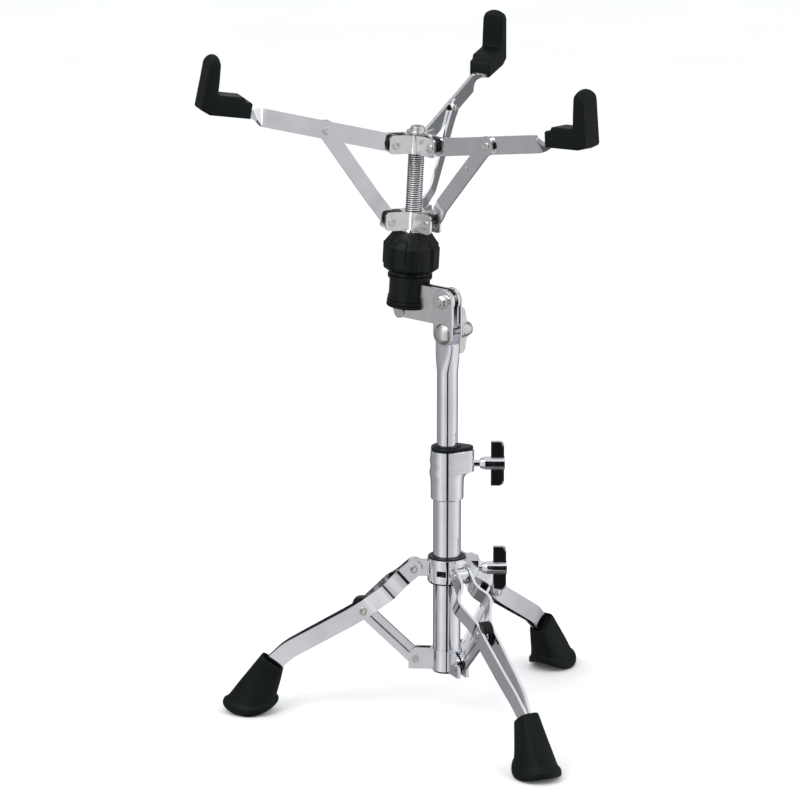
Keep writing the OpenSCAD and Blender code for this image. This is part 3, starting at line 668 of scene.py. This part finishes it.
def height_housing():
    """Cast housing with soft ribs, its clamp block drawn out of the same skin."""
    outside = [(13.7, 208.0), (14.6, 208.5), (15.0, 209.6), (15.0, 217), (15.1, 223.5), (15.3, 226.5),
               (15.7, 229), (16.1, 231), (16.2, 233), (15.9, 235), (15.4, 237), (15.2, 238.6),
               (15.4, 240.5), (15.8, 242.5), (15.9, 244.5), (15.5, 246.8), (15.2, 248.6), (15.2, 252.8),
               (14.9, 253.7), (14.2, 254.0)]
    fine = []
    for (r0, z0), (r1, z1) in zip(outside, outside[1:]):
        steps = max(1, ceil((z1 - z0) / 1.0))
        fine += [(r0 + (r1 - r0) * i / steps, z0 + (z1 - z0) * i / steps) for i in range(steps)]
    fine.append(outside[-1])
    rings = []
    for r, z in fine:
        soften = max(0, z - 252.8) * 0.9
        rings.append(teardrop(r, block_reach(z) - soften, BLOCK_NOSE - soften * 0.5, z))
    rings += [teardrop(BORE_R, 0, 1, 254.0), teardrop(BORE_R, 0, 1, 208.0)]
    bolt_hole = along_x(lathe([(3.1, BORE_R - 2), (3.1, BLOCK_REACH + 2)], 32))
    bolt_z = local_point(COLUMN, pivot("height_wing_turn")).z
    make_piece("clamp_housing", looped(rings), COLUMN, CHROME, "base", ["height_housing"], crease=38,
               hole=placed(bolt_hole, Matrix.Translation((0, 0, bolt_z))))


def height_bushing():
    """Black split bushing: sleeve inside the housing, flange on top with a raised lip."""
    tube = 9.6
    reach = BLOCK_REACH - 1.0
    rings = [teardrop(12.1, 0, 1, 236.4), teardrop(12.1, 0, 1, 254.15)]
    for r, far, nose, z in ((14.2, reach - 0.6, 7.6, 254.15), (14.7, reach, 8.0, 254.5),
                            (14.8, reach, 8.0, 256.6), (14.4, reach - 0.4, 7.7, 257.2),
                            (13.7, reach - 1.2, 7.0, 257.4), (12.4, 0, 1, 257.4),
                            (12.2, 0, 1, 258.2), (11.8, 0, 1, 258.5), (10.2, 0, 1, 258.5),
                            (tube, 0, 1, 258.0), (tube, 0, 1, 236.4)):
        rings.append(teardrop(r, far, nose, z))
    make_piece("clamp_bushing", looped(rings), COLUMN, NYLON, "base", ["height_bushing"], crease=35)


def tilter_wing_nut():
    """Cast wing nut: ridged hub with two stout wings."""
    base = local_frame(pivot("tilter_wing_turn"), HINGE_X, UP.cross(HINGE_X), UP)
    hinge_x = (pivot("tilter_wing_turn") - HINGE).dot(HINGE_X) / MM
    inner = 7.7
    hub = [(3.06, inner), (6.9, inner), (7.3, inner + 0.5), (7.3, 10.6), (6.5, 11.2), (6.5, 12.0),
           (7.3, 12.7), (7.3, 14.8), (6.7, 15.4), (6.7, 16.0), (7.3, 16.7), (7.3, 18.4), (6.8, 19.0),
           (6.8, 19.6), (7.2, 20.2), (7.0, 24.5), (6.3, 27.4), (5.0, 29.0), (3.06, 29.4)]
    nose = lathe([(3.2, 21.4), (3.2, 29.3), (1.6, 29.9), (0.02, 30.0)], 40)
    wing = [(14.0, 4.6), (25.6, 4.6), (25.2, 7.2), (23.4, 9.6), (22.6, 13.0), (21.8, 17.0), (20.4, 19.8),
            (18.2, 21.2), (15.6, 21.3), (14.3, 20.2), (14.0, 18.0)]
    upper = across(wing, -2.5, 2.5)
    lower = placed(upper, Matrix.Scale(-1, 4, (0, 0, 1)))
    shape = joined(along_x(ring_lathe(hub, 48)), along_x(nose), upper, lower)
    make_piece("cast_wing_nut", placed(shape, Matrix.Translation((-hinge_x, 0, 0))), base, NICKEL,
               "wing_nut", ["tilter_wing_nut"], bevel=0.8)


def rounded_box_ring(a, b, squareness, z, steps=96):
    """Plan ring that is round at squareness 2 and boxy above it."""
    ring = []
    for i in range(steps):
        turn = 2 * pi * i / steps
        c, s = cos(turn), sin(turn)
        scale = (abs(c) ** squareness + abs(s) ** squareness) ** (-1 / squareness)
        ring.append((a * scale * c, b * scale * s, z))
    return ring


def pressed_tube():
    """Round upper tube whose head is pressed flat to carry the clevis ears."""
    bottom = box_low("upper_tube", 2) / MM - HINGE.z / MM
    bore = UPPER_R - UPPER_WALL
    rings = [rounded_box_ring(r, r, 2, z) for r, z in
             ((0.02, FLARE_START - 4), (bore, FLARE_START - 4), (bore, bottom),
              (UPPER_R - 0.3, bottom), (UPPER_R, bottom + 0.3), (UPPER_R, FLARE_START))]
    steps = 30
    for i in range(1, steps + 1):
        t = i / steps
        ease = t * t * (3 - 2 * t)
        half_x = UPPER_R + (FLAT_HALF_X - UPPER_R) * ease
        half_y = UPPER_R + (FLAT_HALF_Y - UPPER_R) * ease
        z = FLARE_START + (FLARE_END - FLARE_START) * t
        rings.append(rounded_box_ring(half_x, half_y, 2 + 2.4 * ease, z))
    rings += [rounded_box_ring(FLAT_HALF_X - 0.1, FLAT_HALF_Y, 4.4, FLAT_TOP - 0.4),
              rounded_box_ring(FLAT_HALF_X - 0.5, FLAT_HALF_Y - 0.4, 4.4, FLAT_TOP),
              rounded_box_ring(0.02, 0.02, 4.4, FLAT_TOP)]
    make_piece("pressed_tube", tube_of_rings(rings), AT_HINGE, CHROME, "upper", ["upper_tube"], crease=35)


def clevis_ears():
    """Two round-ended ear plates, drilled for the hinge bolt and the clamp bolt."""
    outline = arc((0, 0), EAR_R, 0, 180, 24) + arc((0, -CLAMP_DROP), EAR_R, 180, 360, 24)
    plate = along_hinge(outline, EAR_INNER, EAR_OUTER)
    other = along_hinge(outline, -EAR_OUTER, -EAR_INNER)
    drill = along_x(lathe([(M6_HOLE_R, -12), (M6_HOLE_R, 12)], 40))
    holes = joined(*(placed(drill, Matrix.Translation((0, 0, z))) for z in (0, -CLAMP_DROP)))
    make_piece("clevis_ears", joined(plate, other), AT_HINGE, CHROME, "upper", bevel=0.55, hole=holes)


def along_hinge(outline, low, high):
    """An outline in Y and Z, given thickness from x = low to x = high."""
    return tube_of_rings([[(x, y, z) for y, z in outline] for x in (low, high)])


# ---- Basket ----

def thread_radius(r, z, turn):
    """Radius of a rounded metric thread."""
    phase = (z / THREAD_PITCH - turn / (2 * pi)) % 1
    return r - THREAD_DEPTH * (0.5 - 0.5 * cos(2 * pi * phase)) ** 0.8


def basket_rod():
    lo, hi = rod_span("basket_rod")
    pitch_rings = 8
    steps = 40
    count = int((hi - lo) / THREAD_PITCH * pitch_rings)
    profile = [(ROD_R, lo + (hi - lo) * i / count) for i in range(count + 1)]
    rod = make_piece("threaded_rod", lathe(profile, steps, thread_radius), ON_ROD, CHROME, "tilter",
                     ["basket_rod"], crease=80)
    # The deepest faces of the thread take the dark second material, which is painted shade in the roots of
    # the thread.
    rod.data.materials.append(THREAD_ROOT_SHADE)
    inverse = ON_ROD.inverted()
    for face in rod.data.polygons:
        middle = inverse @ face.center
        deep = ROD_R - sqrt(middle.x ** 2 + middle.y ** 2)
        if deep > 0.62 * THREAD_DEPTH and lo + 0.1 < middle.z < hi - 0.1:
            face.material_index = 1


def rod_span(node):
    """Lowest and highest point of a node along the rod, in millimetres."""
    inverse = ON_ROD.inverted()
    heights = [(inverse @ v.co).z for v in frame["nodes"][node].data.vertices]
    return min(heights), max(heights)


def knob_radius(r, z, turn):
    """Six flat-bottomed grip recesses, fading out at the top and bottom."""
    phase = (degrees(turn) - 225) * KNOB_LOBES / 360
    from_lobe = abs(phase - round(phase))
    recess = smoothstep((from_lobe - 0.225) / 0.05)
    depth = 2.3 * smoothstep((r - 18.5) / 5)
    return r - depth * recess


def basket_knob():
    lo, hi = rod_span("basket_knob")
    body = [(ROD_R + 1, lo), (19.6, lo), (19.9, lo + 0.4), (21.0, lo + 3.2), (25.6, lo + 6.6)]
    body += arc((KNOB_R - 1.4, lo + 8.4), 1.4, -50, 0, 4)
    body += [(KNOB_R, lo + 12 + 3.5 * i) for i in range(4)]
    body += arc((KNOB_R - 1.6, hi - 13.6), 1.6, 0, 45, 4)
    steps = 8
    for i in range(1, steps + 1):
        t = i / steps
        body.append((KNOB_R - 1.0 - (KNOB_R - 18.2) * t, hi - 12.2 + 11.2 * t))
    body += [(16.8, hi - 0.2), (16.2, hi), (ROD_R + 1, hi)]
    make_piece("basket_grip_knob", lathe(body, 144, knob_radius), ON_ROD, NYLON, "knob",
               ["basket_knob"], crease=30)


def arm_points(which):
    base = arm_frame(which)
    return local_point(base, pivot(which + "_brace_swing")).x


def arm(which):
    """Upright strip with a smooth quarter twist before its rubber tip."""
    r = ARM_W / 2
    end = TIP_CORNER + 2
    path = [Vector((-r, 0, 0)), Vector((TWIST_START, 0, 0))]
    path += [Vector((TWIST_START + TWIST_L * i / 20, 0, 0)) for i in range(1, 21)]
    flat = TWIST_START + TWIST_L
    path += [Vector((flat + 3, 0, 0)), Vector((end, 0, -(end - flat - 3) * sin(radians(TIP_PITCH))))]
    path = round_ended(path, r, 0)
    width = half_width(r, path_length(path), r, 0)
    shape = strip(path, width, ARM_T / 2,
                  lambda s: pi / 2 * smoothstep((s - r - TWIST_START) / TWIST_L))
    make_piece(which + "_arm_bar", shape, arm_frame(which), CHROME, which + "_arm_assembly",
               [which + "_arm"], bevel=0.4)
    rivet_low = -(ARM_T / 2 + 0.35 + BRACE_T + 0.15)
    shape = rivet((arm_points(which), 0), rivet_low, ARM_T / 2 + 0.05, hollow_side=-1)
    make_piece(which + "_brace_rivet", shape, arm_frame(which), NICKEL, which + "_arm_assembly",
               [which + "_arm_rivet"])


def arm_washers(which):
    """Black nylon washers that centre the arm between the hub's ears."""
    shapes = []
    for side, r in ((-1, 4.6), (1, 7.7)):
        profile = [(2.8, ARM_T / 2 + 0.1), (r - 0.3, ARM_T / 2 + 0.1), (r, ARM_T / 2 + 0.5),
                   (r, 4.5), (r - 0.3, 4.9), (2.8, 4.9)]
        turned = along_y(ring_lathe(profile, 48))
        shapes.append(placed(turned, Matrix.Scale(side, 4, (0, 1, 0))))
    make_piece(which + "_arm_washers", joined(*shapes), arm_frame(which), NYLON,
               which + "_arm_assembly")


def brace(which):
    """Brace strip, set over beside the arm so that it passes between the hub's ears."""
    base = brace_frame(which)
    length = local_point(base, pivot(which + "_brace_swing")).x
    beside = -(ARM_T / 2 + 0.35 + BRACE_T / 2)
    out = beside - 0.55
    r_foot = BRACE_W / 2
    control = [(-r_foot, 0, 0), (14, 0, 0), (25, out, 0), (length - 42, out, 0),
               (length - 23, beside, 0), (length + BRACE_EYE_R, beside, 0)]
    path = rounded_path(control, 3.5)
    total = path_length(path)
    path = round_ended(path, r_foot, 2 * BRACE_EYE_R)
    plain = half_width(r_foot, total, r_foot, 0)

    def width(s):
        from_eye = s - (total - BRACE_EYE_R)
        ball = sqrt(max(0.01, BRACE_EYE_R ** 2 - from_eye ** 2)) if abs(from_eye) < BRACE_EYE_R else 0.1
        if from_eye > 0:
            return ball
        return max(plain(s), ball)

    make_piece(which + "_brace_bar", strip(path, width, BRACE_T / 2), base, CHROME,
               which + "_brace_strip", [which + "_brace"], bevel=0.35)
    near = out + (beside - out) * 0.45
    stud = rivet((length - 33, 2.3), near - BRACE_T / 2 - 0.3, near + BRACE_T / 2 - 0.8, 2.1, 0.7, 1, 1.2)
    make_piece(which + "_brace_stud", stud, base, NICKEL, which + "_brace_strip")


def tip_outline(y):
    """Side view of the rubber tip at a distance y from its middle; the wall's top is arched."""
    arch_r = 12.9
    sag = arch_r - sqrt(arch_r ** 2 - y ** 2)
    x0 = TIP_CORNER
    top = LEDGE_Z + TIP_WALL_H - sag
    r = 5.4
    line = [(x0 - LEDGE_L, TIP_BOTTOM), (x0 - LEDGE_L / 2, TIP_BOTTOM), (x0 + TIP_WALL_T - 9, TIP_BOTTOM),
            (x0 + TIP_WALL_T - 1, TIP_BOTTOM + 3.4), (x0 + TIP_WALL_T, TIP_BOTTOM + 5),
            (x0 + TIP_WALL_T - 0.5, LEDGE_Z), (x0 + TIP_WALL_T - 1.0, LEDGE_Z + 12)]
    line += arc((x0 + 7.2, top - r), r, 0, 180, 10)
    line += [(x0 + 0.7, LEDGE_Z + 12), (x0 + 0.2, LEDGE_Z + 2), (x0 - 0.6, LEDGE_Z + 0.4), (x0 - 3, LEDGE_Z),
             (x0 - 24, LEDGE_Z), (x0 - 25, LEDGE_Z - 0.5), (x0 - 26.4, LEDGE_Z - 3.2),
             (x0 - 27.4, LEDGE_Z - 3.9), (x0 - LEDGE_L + 1.4, LEDGE_Z - 3.9),
             (x0 - LEDGE_L, LEDGE_Z - 5.2)]
    return line


def inset(outline, amount):
    """The outline drawn in by amount towards its inside."""
    count = len(outline)
    result = []
    for i in range(count):
        before = Vector(outline[i - 1])
        here = Vector(outline[i])
        after = Vector(outline[(i + 1) % count])
        a = (here - before).normalized()
        b = (after - here).normalized()
        side = Vector((-a.y - b.y, a.x + b.x))
        side = side.normalized() if side.length > 1e-6 else Vector((-a.y, a.x))
        spread_out = max(0.5, side.dot(Vector((-a.y, a.x))))
        result.append(tuple(here + side * amount / spread_out))
    return result


def tip(which):
    half = TIP_W / 2
    slices = [(-half, 1.3), (-half + 0.35, 0.55), (-half + 1.2, 0.0)]
    slices += [(y, 0.0) for y in (-7, -4.5, -1.5, 1.5, 4.5, 7)]
    slices += [(half - 1.2, 0.0), (half - 0.35, 0.55), (half, 1.3)]
    rings = []
    for y, amount in slices:
        rings.append([(x, y, z) for x, z in inset(tip_outline(y), amount)])
    points, faces = tube_of_rings(rings)
    faces = [list(reversed(face)) for face in faces]
    root = Matrix.Translation((TIP_CORNER - LEDGE_L, 0, 0))
    pitch = root @ Matrix.Rotation(radians(TIP_PITCH), 4, "Y") @ root.inverted()
    shape = placed((points, faces), Matrix.Translation((0, 0, TIP_LIFT)) @ pitch)
    make_piece(which + "_rubber_tip", shape, arm_frame(which), RUBBER,
               which + "_arm_assembly", [which + "_tip"], crease=50)


def hub_rivets(body, node, height, through):
    """Rivets of one hub; through is true where the pin crosses from ear to ear."""
    shapes = []
    for which in ARMS:
        side = -axis(which + "_arm_rise")
        start = pivot(which + "_arm_rise") - ROD_Z * height * MM
        base = local_frame(start, side.cross(ROD_Z), side, ROD_Z)
        to_rod = ON_ROD.inverted() @ base
        ear = 7.35
        if through:
            shapes.append(placed(rivet((0, 0), -ear, ear), to_rod))
        else:
            for turn in (0, pi):
                head = placed(along_y(rivet_head(RIVET_R, 1.1, True)), Matrix.Translation((0, ear, 0)))
                stub = along_y(lathe([(2.5, 5.2), (2.5, ear + 0.3)], 32))
                half = placed(joined(head, stub), Matrix.Rotation(turn, 4, "Z"))
                shapes.append(placed(half, to_rod))
    make_piece(node + "_domed", joined(*shapes), ON_ROD, NICKEL, body, [node])


# ---- CAD pieces that keep their shape ----

FINISHES = {
    "tripod_collar": (CHROME, 0.8), "stay_bracket": (CHROME, 0.5),
    "base_tube": (CHROME, 0.3), "tilter_plates": (HUB_NICKEL, 0.35),
    "top_hub": (HUB_NICKEL, 0.5), "lower_hub": (HUB_NICKEL, 0.5),
    "height_wing_bolt": (CHROME, 0.7), "collar_wing_bolt": (CHROME, 0.7),
    "clamp_bolt": (NICKEL, 0.3), "hinge_bolt": (NICKEL, 0.4),
    "hinge_nut": (NICKEL, 0.4), "tilter_screw": (NICKEL, 0.3), "top_screw": (NICKEL, 0.35),
    "rod_anchor": (NICKEL, 0.3), "stay_bracket_rivets": (NICKEL, 0.3),
    "socket_sleeve": (NYLON, 0.35), "collar_liner": (NYLON, 0.3),
    "tube_glide": (NYLON, 0.3), "base_tube_plug": (NYLON, 0.4),
    "height_wing_inlays": (INLAY, 0.15), "collar_wing_inlays": (INLAY, 0.15),
    "knob_insert": (BRASS, 0.3), "height_clamp_pad": (BRASS, 0.1),
}


def finish_cad(node, material, bevel):
    """Gives a CAD piece its finish and rounds its edges, with its own mesh left alone."""
    piece = frame["nodes"][node]
    piece.data.materials.clear()
    piece.data.materials.append(material)
    weld = piece.modifiers.new("closed_skin", "WELD")
    weld.merge_threshold = 0.000002
    round_edges(piece, bevel, angle=30)


def finish_cad_pieces():
    for node, (material, bevel) in FINISHES.items():
        finish_cad(node, material, bevel)
    for which in LEGS:
        finish_cad(which + "_leg_spacer", NYLON, 0.6)
        finish_cad(which + "_stay", CHROME, 0.35)


# ---- Studio ----

def floor():
    half = 15
    mesh = bpy.data.meshes.new("floor")
    corners = [(-half, -half, 0), (half, -half, 0), (half, half, 0), (-half, half, 0)]
    mesh.from_pydata(corners, [], [[0, 1, 2, 3]])
    material, tree, shader = new_material("pale_floor")
    tone = two_colours(tree, noise_node(tree, 3, 3), (0.95, 0.95, 0.95), (0.97, 0.97, 0.97))
    tree.links.new(tone, shader.inputs["Base Color"])
    shader.inputs["Roughness"].default_value = 0.9
    shader.inputs["Specular IOR Level"].default_value = 0
    mesh.materials.append(material)
    plane = bpy.data.objects.new("floor", mesh)
    bpy.context.scene.collection.objects.link(plane)
    plane.visible_glossy = False


# Brightness of the reflection screens round the object, by compass angle from +X
SCREENS = [(0, 0.93), (14, 0.80), (24, 0.66), (47, 0.20), (72, 0.16), (80, 0.55), (100, 0.55),
           (108, 0.15), (126, 0.19), (150, 0.33), (184, 0.37), (200, 0.56), (222, 0.88), (240, 0.70),
           (263, 0.60), (264.5, 0.004), (278, 0.004), (279.5, 0.52), (315, 0.62), (343, 0.82), (360, 0.93)]


def brightness_ramp(tree, value, stops):
    """Colour ramp through (place, brightness) stops, with a faint cool cast."""
    ramp = tree.nodes.new("ShaderNodeValToRGB")
    elements = ramp.color_ramp.elements
    while len(elements) < len(stops):
        elements.new(0.5)
    for element, (place, level) in zip(elements, stops):
        element.position = place
        element.color = (level * 0.985, level, level * 1.015, 1)
    tree.links.new(value, ramp.inputs["Fac"])
    return ramp.outputs["Color"]


def screens():
    """Cylinder of reflection screens, seen only in polished surfaces."""
    steps = 96
    r = 1.4
    low, high = -1.3, 1.7
    mesh = bpy.data.meshes.new("screens")
    points = []
    for i in range(steps):
        turn = 2 * pi * i / steps
        points += [(r * cos(turn), r * sin(turn), low), (r * cos(turn), r * sin(turn), high)]
    faces = [[2 * i, 2 * i + 1, (2 * i + 3) % (2 * steps), (2 * i + 2) % (2 * steps)] for i in range(steps)]
    mesh.from_pydata(points, [], faces)
    material = bpy.data.materials.new("screen_light")
    material.use_nodes = True
    tree = material.node_tree
    tree.nodes.clear()
    output = tree.nodes.new("ShaderNodeOutputMaterial")
    glow = tree.nodes.new("ShaderNodeEmission")
    coords = tree.nodes.new("ShaderNodeTexCoord")
    parts = tree.nodes.new("ShaderNodeSeparateXYZ")
    angle = tree.nodes.new("ShaderNodeMath")
    angle.operation = "ARCTAN2"
    turn = tree.nodes.new("ShaderNodeMapRange")
    turn.inputs["From Min"].default_value = -pi
    turn.inputs["From Max"].default_value = pi
    tree.links.new(coords.outputs["Object"], parts.inputs["Vector"])
    tree.links.new(parts.outputs["Y"], angle.inputs[0])
    tree.links.new(parts.outputs["X"], angle.inputs[1])
    tree.links.new(angle.outputs["Value"], turn.inputs["Value"])
    stops = sorted(((a / 360 + 0.5) % 1, level) for a, level in SCREENS[:-1])
    light = brightness_ramp(tree, turn.outputs["Result"], stops)
    tree.links.new(light, glow.inputs["Color"])
    tree.links.new(glow.outputs["Emission"], output.inputs["Surface"])
    mesh.materials.append(material)
    surround = bpy.data.objects.new("screens", mesh)
    bpy.context.scene.collection.objects.link(surround)
    surround.visible_camera = False
    surround.visible_diffuse = False
    surround.visible_shadow = False
    surround.visible_transmission = False


def area_light(name, place, target, size, power):
    light = bpy.data.lights.new(name, "AREA")
    light.shape = "RECTANGLE"
    light.size, light.size_y = size
    light.energy = power
    lamp = bpy.data.objects.new(name, light)
    lamp.location = place
    lamp.rotation_mode = "QUATERNION"
    lamp.rotation_quaternion = (Vector(place) - target).to_track_quat("Z", "Y")
    bpy.context.scene.collection.objects.link(lamp)
    lamp.visible_camera = False
    return lamp


def studio():
    """Bright ceiling, dark ground beneath the floor, and two soft lamps."""
    world = bpy.data.worlds.new("studio")
    bpy.context.scene.world = world
    world.use_nodes = True
    tree = world.node_tree
    sky = tree.nodes["Background"]
    coords = tree.nodes.new("ShaderNodeTexCoord")
    parts = tree.nodes.new("ShaderNodeSeparateXYZ")
    height = tree.nodes.new("ShaderNodeMapRange")
    height.inputs["From Min"].default_value = -1
    height.inputs["From Max"].default_value = 1
    tree.links.new(coords.outputs["Generated"], parts.inputs["Vector"])
    tree.links.new(parts.outputs["Z"], height.inputs["Value"])
    ceiling = [(0, 0.10), (0.30, 0.16), (0.45, 0.45), (0.55, 1.0), (0.8, 0.90), (1.0, 0.62)]
    tree.links.new(brightness_ramp(tree, height.outputs["Result"], ceiling), sky.inputs["Color"])
    sky.inputs["Strength"].default_value = 1.25
    middle = Vector((0, 0, 0.35))
    area_light("key_softbox", (-1.3, -1.5, 2.2), middle, (1.2, 1.2), 22)
    area_light("fill_softbox", (1.6, -1.2, 1.6), middle, (0.9, 1.4), 9)
    bpy.context.scene.view_settings.view_transform = "Standard"


def camera():
    data = bpy.data.cameras.new("camera")
    data.lens = LENS
    data.sensor_width = 36
    data.clip_end = 50
    tilt = radians(VIEW_TILT)
    looking = Vector((0, cos(tilt), -sin(tilt)))
    eye = bpy.data.objects.new("camera", data)
    eye.location = AIM - looking * VIEW_DISTANCE
    eye.rotation_euler = (pi / 2 - tilt, 0, 0)
    bpy.context.scene.collection.objects.link(eye)
    bpy.context.scene.camera = eye


# ---- Assembly ----

camera()
studio()
floor()
screens()
finish_cad_pieces()
for leg_name in LEGS:
    leg_strips(leg_name)
    leg_rivets(leg_name)
    foot(leg_name)
collar_rivets()
height_housing()
height_bushing()
pressed_tube()
clevis_ears()
tilter_wing_nut()
basket_rod()
basket_knob()
for arm_name in ARMS:
    arm(arm_name)
    arm_washers(arm_name)
    brace(arm_name)
    tip(arm_name)
hub_rivets("tilter", "top_hub_rivets", 0, True)
hub_rivets("hub_slider", "lower_hub_rivets", HUB_SPACING, False)
